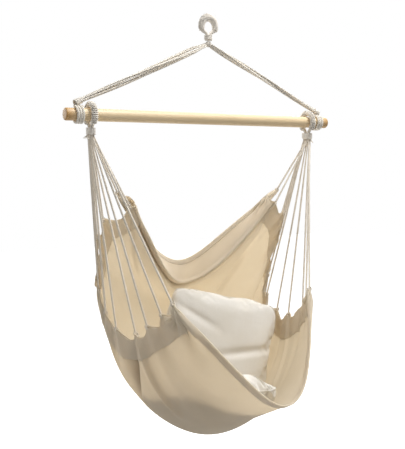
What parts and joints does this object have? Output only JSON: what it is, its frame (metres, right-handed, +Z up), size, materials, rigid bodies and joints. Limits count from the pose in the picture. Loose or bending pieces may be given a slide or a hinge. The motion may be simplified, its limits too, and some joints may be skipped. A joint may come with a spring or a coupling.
{
  "type": "hammock chair",
  "caption": "Hanging cloth seat on a wooden spreader bar, with fans of cords, rope eyes and loose cushions, hung from a single rope eye.",
  "frame": {"origin": "inside the hanging eye, where the hook that carries the chair bears", "axes": "+Z up, +X along the spreader bar to the sitter's left, -Y the way the chair faces"},
  "size_m": [1, 0.6452, 1.3857],
  "materials": {
    "rope": "matte",
    "wood": "satin",
    "cloth": "matte",
    "cushion": "matte"
  },
  "bodies": {
    "eye": {"hanging_eye_core": "rope", "hanging_eye_winding": "rope"},
    "throat": {"throat_whipping": "rope"},
    "lashing": {"rope_lashing": "rope"},
    "spreader": {"spreader_bar": "wood", "left_spreader_strand_1": "rope", "left_spreader_strand_2": "rope", "left_spreader_strand_3": "rope", "left_rope_seizing": "rope", "left_bar_loop": "rope", "right_spreader_strand_1": "rope", "right_spreader_strand_2": "rope", "right_spreader_strand_3": "rope", "right_rope_seizing": "rope", "right_bar_loop": "rope"},
    "seat": {"left_seat_eye_core": "rope", "left_seat_eye_winding": "rope", "left_neck_whipping": "rope", "left_seat_cord_1": "rope", "left_seat_cord_2": "rope", "left_seat_cord_3": "rope", "left_seat_cord_4": "rope", "left_seat_cord_5": "rope", "left_seat_cord_6": "rope", "left_seat_cord_7": "rope", "left_seat_cord_8": "rope", "left_seat_cord_9": "rope", "left_seat_cord_10": "rope", "left_seat_cord_11": "rope", "left_seat_cord_12": "rope", "right_seat_eye_core": "rope", "right_seat_eye_winding": "rope", "right_neck_whipping": "rope", "right_seat_cord_1": "rope", "right_seat_cord_2": "rope", "right_seat_cord_3": "rope", "right_seat_cord_4": "rope", "right_seat_cord_5": "rope", "right_seat_cord_6": "rope", "right_seat_cord_7": "rope", "right_seat_cord_8": "rope", "right_seat_cord_9": "rope", "right_seat_cord_10": "rope", "right_seat_cord_11": "rope", "right_seat_cord_12": "rope", "seat_cloth": "cloth"},
    "seat_cushion": {"seat_cushion": "cushion"},
    "back_cushion": {"back_cushion": "cushion"}
  },
  "joints": [
    {"name": "turn", "type": "hinge", "parent": "eye", "child": "throat", "pos_m": [0, 0, -0.05], "axis": [0, 0, 1], "range_deg": [-180, 180]},
    {"name": "sway", "type": "hinge", "parent": "throat", "child": "lashing", "pos_m": [0, 0, -0.0712], "axis": [0, 1, 0], "range_deg": [-12, 12]},
    {"name": "swing", "type": "hinge", "parent": "lashing", "child": "spreader", "pos_m": [0, 0, -0.0712], "axis": [1, 0, 0], "range_deg": [-25, 25]},
    {"name": "rock", "type": "hinge", "parent": "spreader", "child": "seat", "pos_m": [0, 0, -0.312], "axis": [1, 0, 0], "range_deg": [-25, 25]},
    {"name": "seat_cushion_lift", "type": "slide", "parent": "seat", "child": "seat_cushion", "axis": [0.07, -0.4401, 0.8952], "range_m": [0, 0.6]},
    {"name": "back_cushion_lift", "type": "slide", "parent": "seat_cushion", "child": "back_cushion", "axis": [0, -0.4636, 0.886], "range_m": [0, 0.6]}
  ]
}
